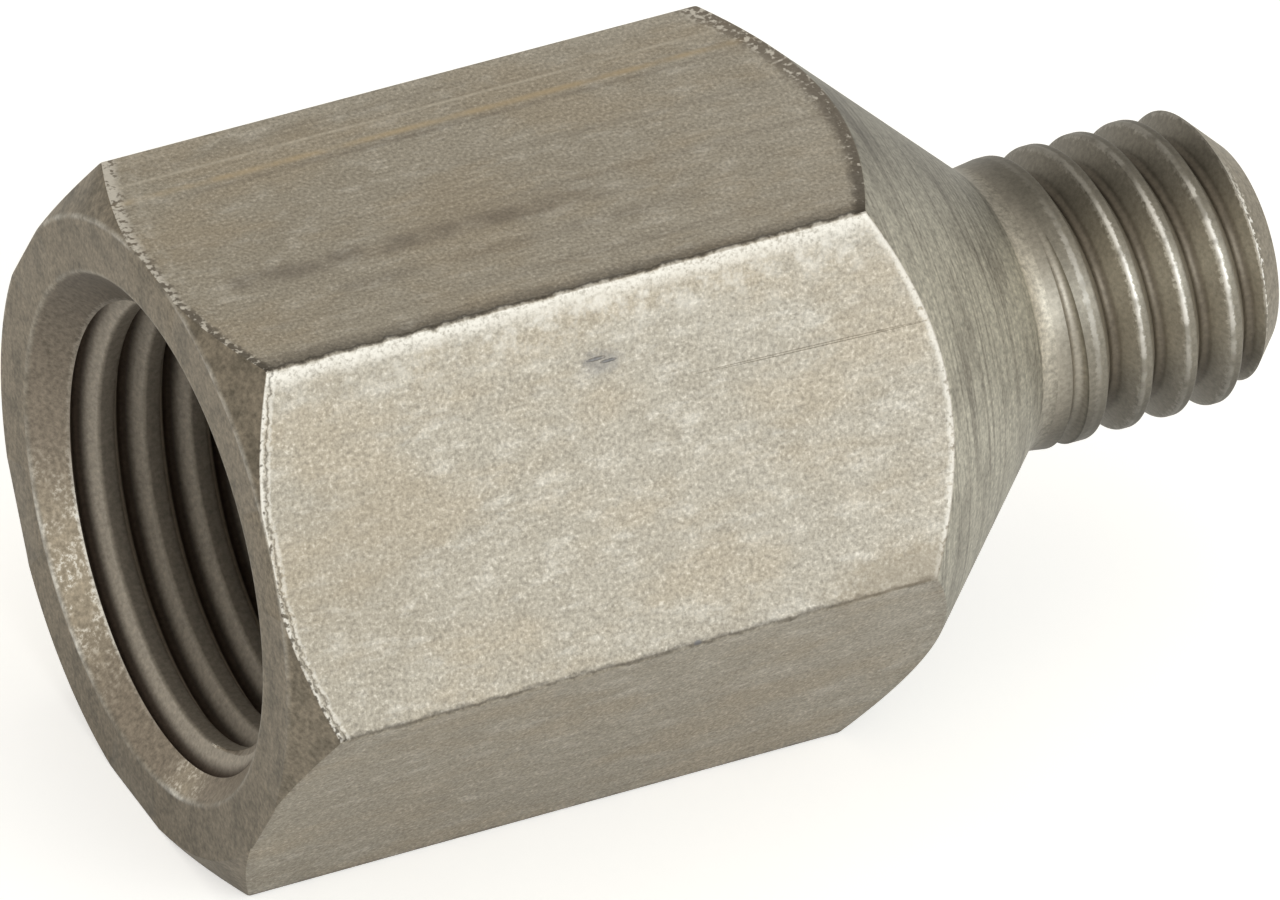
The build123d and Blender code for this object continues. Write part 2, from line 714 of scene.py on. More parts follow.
@dataclass(frozen=True)
class Sheen:
    """How a round surface darkens away from the line along it that catches the light."""

    reach_below: float
    least: float
    angle: float = math.radians(134)
    reach_above: float = math.radians(37)
    plateau: float = 0.0
    back: Ramp = Ramp(math.radians(85), math.radians(140), 0.75)

    def share(self, at: Places) -> Node:
        """Works out how much of its tone a point keeps.

        Args:
            at: Place of the point.

        Returns:
            A node that is one on the bright line, falls to the least share on both sides of it, and
            rises again at the back.
        """
        add = at.add
        offset = add("Math", at.angle, self.angle, operation="SUBTRACT")
        turn = add("Math", offset, math.pi, -math.pi, operation="WRAP")
        above = Ramp(-self.reach_above, 0.0, least=self.least)
        below = Ramp(self.reach_below, self.plateau, least=self.least)
        shares = [add("MapRange", ramp.over(turn), **SOFT) for ramp in (above, below)]
        sides = add("Math", *shares, operation="MINIMUM")
        far = add("Math", turn, operation="ABSOLUTE")
        behind = add("MapRange", self.back.over(far), **SOFT)
        return add("Math", sides, behind, operation="MAXIMUM")


class Coat(NamedTuple):
    """What a finish hands to its shader."""

    colour: Node
    roughness: Node | float
    height: Node


@dataclass(frozen=True, kw_only=True)
class SteelFinish:
    """Bare stainless steel, as each finish of the piece starts: a satin metal with a fine grain.

    The real grain is a few hundredths of a millimetre and too fine to show, so it is drawn coarser.
    """

    name: str
    grain_size: float
    grain_contrast: float
    relief: float
    roughness: float = 0.46

    def paint(self, at: Places, grain: Node) -> Coat:
        """Draws the finish, which each kind of surface does in its own way."""
        raise NotImplementedError

    def grained(self, at: Places, grain: Node, colour: Node) -> Node:
        """Darkens and lightens a colour with the grain.

        Args:
            at: Place of the point.
            grain: Fine grain of the steel.
            colour: The colour.

        Returns:
            The colour with its grain.
        """
        spread = Ramp(NOISE_LOW, NOISE_HIGH, 1 + self.grain_contrast, 1 - self.grain_contrast)
        tone = at.add("MapRange", spread.over(grain))
        return at.add("MixRGB", 1.0, colour, tone, blend_type="MULTIPLY")

    def material(self) -> bpy.types.Material:
        """Makes the finish.

        Returns:
            The material.
        """
        material = bpy.data.materials.new(self.name)
        nodes = NodeSheet(material)
        at = Places(nodes)
        grain = nodes.add("TexNoise", {
            "Vector": at.point, "Scale": 1 / self.grain_size, "Detail": 4.0, "Roughness": 0.65})
        coat = self.paint(at, grain)
        raised = nodes.add("Bump", {"Height": coat.height, "Distance": self.relief})
        metal = nodes.add("BsdfPrincipled", {
            "Base Color": coat.colour, "Metallic": 1.0, "Roughness": coat.roughness,
            "Normal": raised})
        nodes.add("OutputMaterial", {"Surface": metal})
        return material


@dataclass(frozen=True)
class Cloud:
    """A cloudy tint of the bar's skin, drawn out along the bar."""

    size: float
    colour: str
    shown: Ramp
    draw: float = 2.4
    detail: float = 4.0
    roughness: float = 0.6


@dataclass(frozen=True)
class DieLine:
    """A line that the drawing die left along the top flat."""

    side: float
    width: float
    colour: str
    strength: float
    start: float = 0.0
    end: float = 24.0 * MM
    fade: float = 3.0 * MM


@dataclass(frozen=True)
class DarkPatch:
    """A dark spot or a darker tinted patch on the front flat."""

    along: float
    across: float
    length: float
    width: float
    strength: float
    colour: str = "#77777a"
    edge: Point = (1.7, 0.9)


@dataclass(frozen=True, kw_only=True)
class DrawnFlats(SteelFinish):
    """Cold drawn stainless bar, left as drawn.

    A warm matt grey with a fine grain, cloudy here and tan there, with soft lines from the die on
    its top, and ragged edges where the turning tool broke its skin. The white band along the front
    corner and the white beads at the turned ends are partly wear and partly a painted highlight.
    """

    body: HexagonBody
    name: str = "cold_drawn_stainless_steel"
    grain_size: float = 0.075 * MM
    grain_contrast: float = 0.34
    relief: float = 0.006 * MM

    # Skin, with its clouds, white veils, tan patches and flecks
    mouth_skin: str = "#aaa396"
    tail_skin: str = "#b5afa4"
    shade: str = "#766e65"
    dark: str = "#3d3833"
    chip: str = "#4d4740"
    pale: str = "#e2ded6"
    clouds: tuple[Cloud, ...] = (
        Cloud(0.9 * MM, "#9d9587", Ramp(0.42, 0.72, 0.4), draw=1.0),
        Cloud(0.36 * MM, pale, Ramp(0.49, 0.7, 0.32), detail=5.0, roughness=0.7),
        Cloud(1.6 * MM, "#ada18e", Ramp(0.45, 0.63, 0.5)),
    )
    flecks: Ramp = Ramp(0.58, 0.7, 0.38)

    # Lines of the die, which waver, fainter off the top flat
    line_length: float = 16 * MM
    line_width: float = 0.3 * MM
    lines: Ramp = Ramp(0.5, 0.75, 0.3)
    lines_off_top: float = 0.3
    waver_size: float = 0.9 * MM
    waver: Ramp = Ramp(0.3, 0.6, least=0.2)
    die_lines: tuple[DieLine, ...] = (
        DieLine(2.8 * MM, 0.07 * MM, "#d9d2c4", 0.5),
        DieLine(2.3 * MM, 0.15 * MM, "#cab694", 0.6),
        DieLine(2.05 * MM, 0.1 * MM, "#776f66", 0.3),
        DieLine(-1.0 * MM, 0.45 * MM, "#6f675f", 0.55, 1.06 * MM, 10.5 * MM),
        DieLine(-1.9 * MM, 0.3 * MM, "#6f675f", 0.25, 3.0 * MM, 12.0 * MM),
    )

    # Long corners: the crease, the white band beside it, partly wear and partly a painted
    # highlight, and the white veil past it
    front_corner: int = 2
    wave_size: float = 0.4 * MM
    wave_reach: float = 0.36 * MM
    crease_width: float = 0.1 * MM
    crease: Ramp = Ramp(0.0, 1.0, 0.8, 0.5)
    crease_shade: float = 0.6
    corner_band_width: float = 0.5 * MM
    worn_highlight_strength: float = 0.9
    worn_highlight_grain: Ramp = Ramp(0.32, 0.55, least=0.35)
    veil_width: float = 1.5 * MM
    veil_strength: float = 0.8
    veil_wisps: Ramp = Ramp(0.42, 0.7)
    veil_growth: Ramp = Ramp(0.0, 6.0 * MM, least=0.2)
    bright_off_front: float = 0.12

    # Turned ends: beads and chips at the edge, a dark line and a second row of beads behind them;
    # the white beads are partly broken skin and partly a painted highlight
    end_line: float = 0.095 * MM
    end_fade: float = 3.7 * MM
    speck_size: float = 0.11 * MM
    end_edge: Ramp = Ramp(1.4 * end_line, 0.5 * end_line, 0.75)
    end_dark_line: Band = Band(1.5 * end_line, 0.4 * end_line, 0.5)
    end_row: Band = Band(2.3 * end_line, 0.8 * end_line, 0.5)
    end_off_plain: float = 0.15
    row_off_front: float = 0.3
    front_squeeze: float = 1.1
    top_squeeze: Ramp = Ramp(-end_fade, end_fade, 0.32, 0.55)
    tail_squeeze: float = 0.6
    beads: Ramp = Ramp(0.42, 0.58)
    front_beads: Ramp = Ramp(-end_fade, end_fade / 3, 0.02, 0.2)
    front_tail_beads: float = 0.1
    top_beads: Ramp = Ramp(-end_fade, end_fade, 0.1, -0.1)
    top_tail_beads: float = 0.12
    chips: Ramp = Ramp(-end_fade, end_fade / 3)

    dark_patches: tuple[DarkPatch, ...] = (
        DarkPatch(7.58 * MM, -2.2 * MM, 1.0 * MM, 0.55 * MM, 0.45),
        DarkPatch(7.5 * MM, -2.28 * MM, 0.42 * MM, 0.08 * MM, 0.75),
        DarkPatch(7.74 * MM, -2.19 * MM, 0.36 * MM, 0.07 * MM, 0.75),
        DarkPatch(8.44 * MM, 3.68 * MM, 0.17 * MM, 0.14 * MM, 0.8),
        # Broad darker tan patches: towards the lower corner near the tail, and over the mouth end
        DarkPatch(13.4 * MM, 3.5 * MM, 4.4 * MM, 1.2 * MM, 0.45, "#8f8370"),
        DarkPatch(1.6 * MM, 0.4 * MM, 4.0 * MM, 4.6 * MM, 0.16, "#8f8370"),
    )

    def across(self, at: Places) -> Node:
        """Measures how far a point is from the middle line of its flat.

        Args:
            at: Place of the point.

        Returns:
            The distance, rising with the angle round the axis.
        """
        add = at.add
        sectors = add("Math", at.angle, SECTOR, operation="DIVIDE")
        share = add("Math", sectors, operation="FRACT")
        centred = add("Math", share, 0.5, operation="SUBTRACT")
        turned = add("Math", centred, SECTOR, operation="MULTIPLY")
        slope = add("Math", turned, operation="TANGENT")
        return add("Math", slope, self.body.across_flats / 2, operation="MULTIPLY")

    def end_gap(self, at: Places) -> Node:
        """Measures the distance along the bar from the nearer scalloped edge.

        Args:
            at: Place of the point.

        Returns:
            The distance.
        """
        add = at.add
        body = self.body
        over_face = add("Math", at.radius, body.face_radius(), operation="SUBTRACT")
        chamfered = add("Math", over_face, math.tan(body.mouth_chamfer_angle), operation="MULTIPLY")
        mouth_edge = add("Math", chamfered, 0.0, operation="MAXIMUM")
        mouth_gap = add("Math", at.along, mouth_edge, operation="SUBTRACT")
        over_neck = add("Math", at.radius, body.neck_radius(), operation="SUBTRACT")
        coned = add("Math", over_neck, math.tan(body.cone_half_angle), operation="DIVIDE")
        tail_edge = add("Math", body.shoulder_length, coned, operation="SUBTRACT")
        tail_gap = add("Math", tail_edge, at.along, operation="SUBTRACT")
        return add("Math", mouth_gap, tail_gap, operation="MINIMUM")

    def on_flat(self, at: Places, flat: Flat) -> Node:
        """Tells whether a point is on one flat of the bar.

        Args:
            at: Place of the point.
            flat: The flat.

        Returns:
            A node that is one on that flat and nought elsewhere.
        """
        sectors = at.add("Math", at.angle, SECTOR, operation="DIVIDE")
        sector = at.add("Math", sectors, operation="FLOOR")
        wanted = math.floor(math.radians(flat.value) / SECTOR)
        return at.add("Math", sector, wanted, WHOLE_TOLERANCE, operation="COMPARE")

    def draw_skin(self, at: Places, grain: Node) -> Node:
        """Draws the grained and clouded skin of the bar.

        Args:
            at: Place of the point.
            grain: Fine grain of the skin.

        Returns:
            The colour.
        """
        add = at.add
        ahead = add("MapRange", Ramp(0.0, self.body.shoulder_length).over(at.along))
        colour = add("MixRGB", ahead, linear(self.mouth_skin), linear(self.tail_skin))
        for cloud in self.clouds:
            drawn = add("VectorMath", at.point, (1 / cloud.draw, 1, 1), operation="MULTIPLY")
            pattern = add("TexNoise", {
                "Vector": drawn, "Scale": 1 / cloud.size, "Detail": cloud.detail,
                "Roughness": cloud.roughness})
            shown = add("MapRange", cloud.shown.over(pattern), **SOFT)
            colour = add("MixRGB", shown, colour, linear(cloud.colour))
        colour = self.grained(at, grain, colour)
        flecked = add("MapRange", self.flecks.over(grain), **SOFT)
        return add("MixRGB", flecked, colour, linear(self.pale))

    def draw_lines(self, at: Places, colour: Node) -> Node:
        """Draws the lines of the die, faint all round and plainer on the top flat.

        Args:
            at: Place of the point.
            colour: Colour of the skin.

        Returns:
            The colour with its lines.
        """
        add = at.add
        scales = (1 / self.line_length, 1 / self.line_width, 1 / self.line_width)
        drawn = add("VectorMath", at.point, scales, operation="MULTIPLY")
        pattern = add("TexNoise", {"Vector": drawn, "Scale": 1.0, "Detail": 4.0, "Roughness": 0.6})
        lined = add("MapRange", self.lines.over(pattern), **SOFT)
        top = self.on_flat(at, Flat.TOP)
        share = add("MapRange", Ramp(0.0, 1.0, least=self.lines_off_top).over(top))
        shown = add("Math", lined, share, operation="MULTIPLY")
        colour = add("MixRGB", shown, colour, linear(self.shade))
        breaks = add("TexNoise", {"Vector": at.point, "Scale": 1 / self.waver_size, "Detail": 4.0})
        wavering = add("MapRange", self.waver.over(breaks), **SOFT)
        for line in self.die_lines:
            shown = Band(line.side, line.width, line.strength).over(at, at.side)
            start = Ramp(line.start, line.start + line.width)
            begun = add("MapRange", start.over(at.along), **SOFT)
            end = Ramp(line.end, line.end - line.fade)
            ended = add("MapRange", end.over(at.along), **SOFT)
            for share in (begun, ended, wavering, top):
                shown = add("Math", shown, share, operation="MULTIPLY")
            colour = add("MixRGB", shown, colour, linear(line.colour))
        return colour

    def draw_corners(self, at: Places, grain: Node, colour: Node) -> Node:
        """Draws the long corners: a dark ragged crease, with a white band beside it at the front.

        The band is partly wear and partly a painted highlight.

        Args:
            at: Place of the point.
            grain: Fine grain of the skin.
            colour: Colour of the flats.

        Returns:
            The colour with its corners.
        """
        add = at.add
        width = self.crease_width
        sectors = add("Math", at.angle, SECTOR, operation="DIVIDE")
        nearest = add("Math", sectors, operation="ROUND")
        front = add("Math", nearest, self.front_corner, WHOLE_TOLERANCE, operation="COMPARE")
        across = self.across(at)
        off_middle = add("Math", across, operation="ABSOLUTE")
        half_flat = self.body.across_flats / 2 * math.tan(SECTOR / 2)
        gap = add("Math", off_middle, half_flat, operation="SUBTRACT")
        side = add("Math", across, operation="SIGN")
        past = add("Math", gap, side, operation="MULTIPLY")
        waves = add("TexNoise", {
            "Vector": at.point, "Scale": 1 / self.wave_size, "Detail": 4.0, "Roughness": 0.7})
        strayed = add("Math", waves, NOISE_MEAN, operation="SUBTRACT")
        stray = add("Math", strayed, self.wave_reach, operation="MULTIPLY")
        ragged = add("Math", past, stray, operation="ADD")

        # Cloudy white, then a white band that is partly wear and partly a painted highlight, above
        # the crease of the front corner
        veil = add("MapRange", Ramp(self.veil_width, width, self.veil_strength).over(past), **SOFT)
        wisps = add("MapRange", self.veil_wisps.over(waves), **SOFT)
        grown = add("MapRange", self.veil_growth.over(at.along), **SOFT)
        above = add("Math", past, -width, operation="GREATER_THAN")
        for share in (wisps, grown, above):
            veil = add("Math", veil, share, operation="MULTIPLY")
        band = add("MapRange", Ramp(0.0, width, self.worn_highlight_strength).over(ragged), **SOFT)
        faded = add("MapRange", Ramp(self.corner_band_width, width).over(ragged), **SOFT)
        rough = add("MapRange", self.worn_highlight_grain.over(grain), **SOFT)
        for share in (faded, rough):
            band = add("Math", band, share, operation="MULTIPLY")
        bright = add("Math", band, veil, operation="MAXIMUM")
        share = add("MapRange", Ramp(0.0, 1.0, least=self.bright_off_front).over(front))
        shown = add("Math", bright, share, operation="MULTIPLY")
        colour = add("MixRGB", shown, colour, linear(self.pale))

        # Crease: a thin dark line, with a soft shade on the side before it
        line = Band(-width / 2, width).over(at, ragged)
        line_share = add("MapRange", self.crease.over(front))
        line = add("Math", line, line_share, operation="MULTIPLY")
        shading = Ramp(-self.corner_band_width, 0.0, self.crease_shade)
        shade = add("MapRange", shading.over(ragged), **SOFT)
        before = add("Math", ragged, 0.0, operation="LESS_THAN")
        for share in (before, front):
            shade = add("Math", shade, share, operation="MULTIPLY")
        darker = add("Math", line, shade, operation="MAXIMUM")
        return add("MixRGB", darker, colour, linear(self.dark))

    def end_depth(self, at: Places, specks: Node, front: Node, tail: Node) -> Node:
        """Measures how deep a point lies behind the ragged edge of a turned end.

        Args:
            at: Place of the point.
            specks: Fine specks of the edge.
            front: One on the front flat.
            tail: One at the tail's end.

        Returns:
            The distance, squeezed or drawn out to the width of that edge's broken skin.
        """
        add = at.add
        waves = add("TexNoise", {"Vector": at.point, "Scale": 1 / self.wave_size, "Detail": 3.0})
        both = add("Math", specks, waves, operation="ADD")
        strayed = add("Math", both, 2 * NOISE_MEAN, operation="SUBTRACT")
        stray = add("Math", strayed, self.wave_reach / 2, operation="MULTIPLY")
        depth = add("Math", self.end_gap(at), stray, operation="ADD")
        narrowed = add("MapRange", self.top_squeeze.over(at.side))
        squeeze = add("MixRGB", front, narrowed, (*[self.front_squeeze] * 3, 1.0))
        tail_squeeze = add("MapRange", Ramp(0.0, 1.0, self.tail_squeeze, 1.0).over(tail))
        for share in (squeeze, tail_squeeze):
            depth = add("Math", depth, share, operation="MULTIPLY")
        return depth

    def end_beads(self, at: Places, specks: Node, front: Node, tail: Node) -> Node:
        """Finds the white beads of the turned ends, thickest at the upper front of the mouth.

        They are partly broken skin and partly a painted highlight.

        Args:
            at: Place of the point.
            specks: Fine specks of the edge.
            front: One on the front flat.
            tail: One at the tail's end.

        Returns:
            A node that is one on a bead and nought off it.
        """
        add = at.add
        # The lift is a painted highlight: most on the front flat, towards its upper side
        rising = add("MapRange", self.front_beads.over(self.across(at)))
        tail_lift = add("Math", tail, self.front_tail_beads, operation="MULTIPLY")
        front_lift = add("Math", rising, tail_lift, operation="MAXIMUM")
        rearward = add("MapRange", self.top_beads.over(at.side))
        tail_drop = add("Math", tail, self.top_tail_beads, operation="MULTIPLY")
        top_lift = add("Math", rearward, tail_drop, operation="SUBTRACT")
        lift = add("MixRGB", front, top_lift, front_lift)
        lit = add("Math", specks, lift, operation="ADD")
        return add("MapRange", self.beads.over(lit), **SOFT)

    def draw_ends(self, at: Places, colour: Node) -> Node:
        """Draws the broken skin at the turned ends: white beads in front, specks on top.

        The white beads are partly a painted highlight.

        Args:
            at: Place of the point.
            colour: Colour of the flats.

        Returns:
            The colour with its ends.
        """
        add = at.add
        front = self.on_flat(at, Flat.FRONT)
        top = self.on_flat(at, Flat.TOP)
        tail = add("Math", at.along, self.body.length / 2, operation="GREATER_THAN")
        mouth = add("Math", 1.0, tail, operation="SUBTRACT")
        specks = add("TexNoise", {"Vector": at.point, "Scale": 1 / self.speck_size, "Detail": 2.0})
        depth = self.end_depth(at, specks, front, tail)
        beads = self.end_beads(at, specks, front, tail)

        # Second row of beads and a dark line, behind the edge of the mouth
        row = self.end_row.over(at, depth)
        row_share = add("MapRange", Ramp(0.0, 1.0, least=self.row_off_front).over(front))
        for share in (beads, mouth, row_share):
            row = add("Math", row, share, operation="MULTIPLY")
        dark_line = self.end_dark_line.over(at, depth)
        for share in (mouth, front):
            dark_line = add("Math", dark_line, share, operation="MULTIPLY")

        # Beads and chips at the edge itself, with no chips at the front of the tail
        worn = add("MapRange", self.chips.over(at.side))
        chip = add("MixRGB", worn, linear(self.chip), linear(self.shade))
        front_tail = add("Math", tail, front, operation="MULTIPLY")
        chips = add("MixRGB", front_tail, chip, colour)
        shards = add("MixRGB", beads, chips, linear(self.pale))
        plain = add("Math", front, top, operation="MAXIMUM")
        plain_share = add("MapRange", Ramp(0.0, 1.0, least=self.end_off_plain).over(plain))
        edge = add("MapRange", self.end_edge.over(depth), **SOFT)
        edge = add("Math", edge, plain_share, operation="MULTIPLY")

        for shown, tint in ((row, linear(self.pale)), (dark_line, linear(self.dark)), (edge, shards)):
            colour = add("MixRGB", shown, colour, tint)
        return colour

    def draw_dark_patches(self, at: Places, colour: Node) -> Node:
        """Draws the dark spots and the darker tinted patches of the front flat.

        Args:
            at: Place of the point.
            colour: Colour of the flats.

        Returns:
            The colour with its spots.
        """
        add = at.add
        front = self.on_flat(at, Flat.FRONT)
        specks = add("TexNoise", {"Vector": at.point, "Scale": 1 / self.speck_size, "Detail": 2.0})
        place = add("CombineXYZ", at.along, self.across(at))
        for dark_patch in self.dark_patches:
            middle = (dark_patch.along, dark_patch.across, 0)
            shares = (2 / dark_patch.length, 2 / dark_patch.width, 0)
            offset = add("VectorMath", place, middle, operation="SUBTRACT")
            scaled = add("VectorMath", offset, shares, operation="MULTIPLY")
            reach = add("VectorMath", scaled, operation="LENGTH").outputs["Value"]
            ragged = add("Math", reach, specks, operation="ADD")
            spot = add("MapRange", Ramp(*dark_patch.edge, dark_patch.strength).over(ragged), **SOFT)
            shown = add("Math", spot, front, operation="MULTIPLY")
            colour = add("MixRGB", shown, colour, linear(dark_patch.colour))
        return colour

    def paint(self, at: Places, grain: Node) -> Coat:
        """Draws the skin, its lines, its corners, its ends and its dark patches.

        Args:
            at: Place of the point.
            grain: Fine grain of the steel.

        Returns:
            The coat of the shader.
        """
        colour = self.draw_skin(at, grain)
        colour = self.draw_lines(at, colour)
        colour = self.draw_corners(at, grain, colour)
        colour = self.draw_ends(at, colour)
        return Coat(self.draw_dark_patches(at, colour), self.roughness, grain)


@dataclass(frozen=True, kw_only=True)
class TurnedFaces(SteelFinish):
    """Stainless steel as it comes off the lathe, with a fine feed.

    A matt brown-grey at the mouth, stained here and there, paler and sparkling in the countersink,
    a cooler grey on the cone, where fine rings run round the axis, and a bright neck.
    """

    body: HexagonBody
    sink_radius: float
    name: str = "fine_turned_stainless_steel"
    grain_size: float = 0.11 * MM
    grain_contrast: float = 0.34
    relief: float = 0.005 * MM
    change_width: float = 0.03 * MM
    rim_line: float = 0.09 * MM

    # Mouth: its face and chamfer, the countersink, and the pale lines at their edges
    mouth: str = "#8f8678"
    stain: str = "#6f695e"
    sink: str = "#998f82"
    bright_sink: str = "#c2b7a5"
    shade: str = "#6e675e"
    pale: str = "#f2f0ea"
    stain_size: float = 0.6 * MM
    stains: Ramp = Ramp(0.42, 0.66, 0.7)
    glints: tuple[Band, ...] = (
        Band(math.radians(-44), math.radians(34)),
        Band(math.radians(-110), math.radians(12), 0.55),
    )
    spark_size: float = 0.5 * MM
    spark_clumps: Ramp = Ramp(0.36, 0.56)
    sparks: Ramp = Ramp(0.48, 0.62, 0.9)
    inner_stray: Ramp = Ramp(NOISE_LOW, NOISE_HIGH, 0.07, -0.05)
    inner_edge: Ramp = Ramp(0.89, 0.97, 0.75)
    inner_caught: Ramp = Ramp(0.0, 0.5, least=0.12)
    rim_strength: float = 0.3
    rim_worn: Ramp = Ramp(0.35, 0.6, least=0.4)
    rim_caught: Ramp = Ramp(0.0, 0.6, 2.4, 0.5)

    # Tail: the ringed and smudged cone, the neck and the end of the stud
    cone: str = "#cac7ba"
    shoulder: str = "#e0dacc"
    neck: str = "#bfb9ac"
    stud_end: str = "#9c9588"
    feed: float = 0.07 * MM
    ring_draw: float = 60.0
    rings: Ramp = Ramp(0.42, 0.72, 0.5)
    smudge_width: float = 0.5 * MM
    smudge_draw: float = 3.6
    smudges: Ramp = Ramp(0.46, 0.7, 0.4)
    cone_sheen: Sheen = Sheen(math.radians(170), 0.52)
    neck_sheen: Sheen = Sheen(math.radians(75), 0.5, plateau=math.radians(15))
    neck_reach: float = 0.17 * MM
    neck_fade_share: float = 1 / 3
    end_burr_reach: float = 4 * rim_line
    end_burr_edge: float = rim_line / 4

    def past(self, at: Places, place: float) -> Node:
        """Gives a node that is nought before a place along the axis and one past it."""
        return at.add("MapRange", Ramp(place, place + self.change_width).over(at.along))

    def ringed(self, at: Places, size: float, draw: float, detail: float) -> Node:
        """Draws a pattern of a size along the axis, drawn out so many times longer round it."""
        swept = at.add("VectorMath", at.point, (1, 1 / draw, 1 / draw), operation="MULTIPLY")
        return at.add("TexNoise", {"Vector": swept, "Scale": 1 / size, "Detail": detail})

    def draw_mouth(self, at: Places, grain: Node) -> Node:
        """Draws the face and the chamfer of the mouth, and the countersink with its sparkle.

        Args:
            at: Place of the point.
            grain: Fine grain of the steel.

        Returns:
            The colour.
        """
        add = at.add
        pale = linear(self.pale)
        inwards = Ramp(self.sink_radius, self.sink_radius - self.rim_line)
        sunk = add("MapRange", inwards.over(at.radius))
        # Painted shade: the countersink darkens towards its top
        upwards = Ramp(-self.sink_radius / 2, self.sink_radius)
        upper = add("MapRange", upwards.over(at.height), **SOFT)
        dim_sink = add("MixRGB", upper, linear(self.sink), linear(self.shade))
        glints = [glint.over(at, at.angle) for glint in self.glints]
        glinting = add("Math", *glints, operation="MAXIMUM")
        sinks = add("MixRGB", glinting, dim_sink, linear(self.bright_sink))
        stains = add("TexNoise", {
            "Vector": at.point, "Scale": 1 / self.stain_size, "Detail": 5.0, "Roughness": 0.65})
        stained = add("MapRange", self.stains.over(stains), **SOFT)
        face = add("MixRGB", stained, linear(self.mouth), linear(self.stain))
        colour = add("MixRGB", sunk, face, sinks)

        # Sparkle in the countersink, in clumps
        clumps = add("TexNoise", {"Vector": at.point, "Scale": 1 / self.spark_size, "Detail": 2.0})
        clumped = add("MapRange", self.spark_clumps.over(clumps), **SOFT)
        sparkle = add("MapRange", self.sparks.over(grain), **SOFT)
        for share in (clumped, glinting, sunk):
            sparkle = add("Math", sparkle, share, operation="MULTIPLY")
        colour = add("MixRGB", sparkle, colour, pale)

        # Broken pale line at the countersink's inner edge, plainest where it catches the light
        inner = add("Attribute", attribute_name=EDGE_RAMP).outputs["Fac"]
        stray = add("MapRange", self.inner_stray.over(grain))
        uneven = add("Math", inner, stray, operation="ADD")
        edge = add("MapRange", self.inner_edge.over(uneven), **SOFT)
        edge_caught = add("MapRange", self.inner_caught.over(glinting))
        edge_shown = add("Math", edge, edge_caught, operation="MULTIPLY")
        colour = add("MixRGB", edge_shown, colour, pale)

        # Broken pale lines round the countersink, and where the mouth's face turns into its
        # chamfer: the countersink's line is a painted highlight, plainest where it glints, and the
        # face's line shows towards the top
        worn = add("MapRange", self.rim_worn.over(clumps), **SOFT)
        on_face = add("Math", at.along, self.rim_line, operation="LESS_THAN")
        rim_caught = add("MapRange", self.rim_caught.over(glinting))
        for radius, caught in ((self.body.face_radius(), upper), (self.sink_radius, rim_caught)):
            rim = Band(radius, self.rim_line, self.rim_strength).over(at, at.radius)
            for share in (worn, on_face, caught):
                rim = add("Math", rim, share, operation="MULTIPLY")
            colour = add("MixRGB", rim, colour, pale)
        return colour

    def draw_tail(self, at: Places, grain: Node, rings: Node) -> Node:
        """Draws the ringed cone, the bright neck and the chamfered end of the stud.

        The cone and the neck carry a painted sheen, and the burr at the end a painted highlight.

        Args:
            at: Place of the point.
            grain: Fine grain of the steel.
            rings: Rings that the feed left.

        Returns:
            The colour.
        """
        add = at.add
        body = self.body
        colour = linear(self.cone)
        smudges = self.ringed(at, self.smudge_width, self.smudge_draw, detail=4.0)
        for ramp, pattern in ((self.rings, rings), (self.smudges, smudges)):
            shown = add("MapRange", ramp.over(pattern), **SOFT)
            colour = add("MixRGB", shown, colour, linear(self.shade))
        cone_share = self.cone_sheen.share(at)
        cone = add("MixRGB", 1.0, colour, cone_share, blend_type="MULTIPLY")

        # Neck, brightest at the shoulder
        neck_start = body.shoulder_length - self.neck_reach
        neck_fade = Ramp(neck_start, body.shoulder_length + body.neck_length * self.neck_fade_share)
        faded = add("MapRange", neck_fade.over(at.along))
        neck = add("MixRGB", faded, linear(self.shoulder), linear(self.neck))
        neck_share = self.neck_sheen.share(at)
        neck = add("MixRGB", 1.0, neck, neck_share, blend_type="MULTIPLY")
        colour = add("MixRGB", self.past(at, neck_start), cone, neck)

        # End of the stud, with a ragged burr round its rim, painted bright as a highlight where the
        # neck's sheen catches the light
        rim = body.length - body.stud_chamfer
        stray = Ramp(NOISE_LOW, NOISE_HIGH, rim + self.end_burr_reach, rim + self.rim_line)
        ragged = add("MapRange", stray.over(grain))
        over = add("Math", ragged, at.along, operation="SUBTRACT")
        burr_highlight = add("MapRange", Ramp(0.0, self.end_burr_edge).over(over), **SOFT)
        caught = add("MapRange", Ramp(self.neck_sheen.least, 1.0).over(neck_share))
        burr_caught = add("Math", burr_highlight, caught, operation="MULTIPLY")
        end = add("MixRGB", burr_caught, linear(self.stud_end), linear(self.pale))
        return add("MixRGB", self.past(at, rim - self.rim_line), colour, end)

    def paint(self, at: Places, grain: Node) -> Coat:
        """Draws the mouth and the tail.

        Args:
            at: Place of the point.
            grain: Fine grain of the steel.

        Returns:
            The coat of the shader.
        """
        rings = self.ringed(at, self.feed, self.ring_draw, detail=3.0)
        tail = self.past(at, self.body.length / 2)
        mouth = self.draw_mouth(at, grain)
        colour = at.add("MixRGB", tail, mouth, self.draw_tail(at, grain, rings))
        height = at.add("MixRGB", tail, grain, rings)
        return Coat(self.grained(at, grain, colour), self.roughness, height)


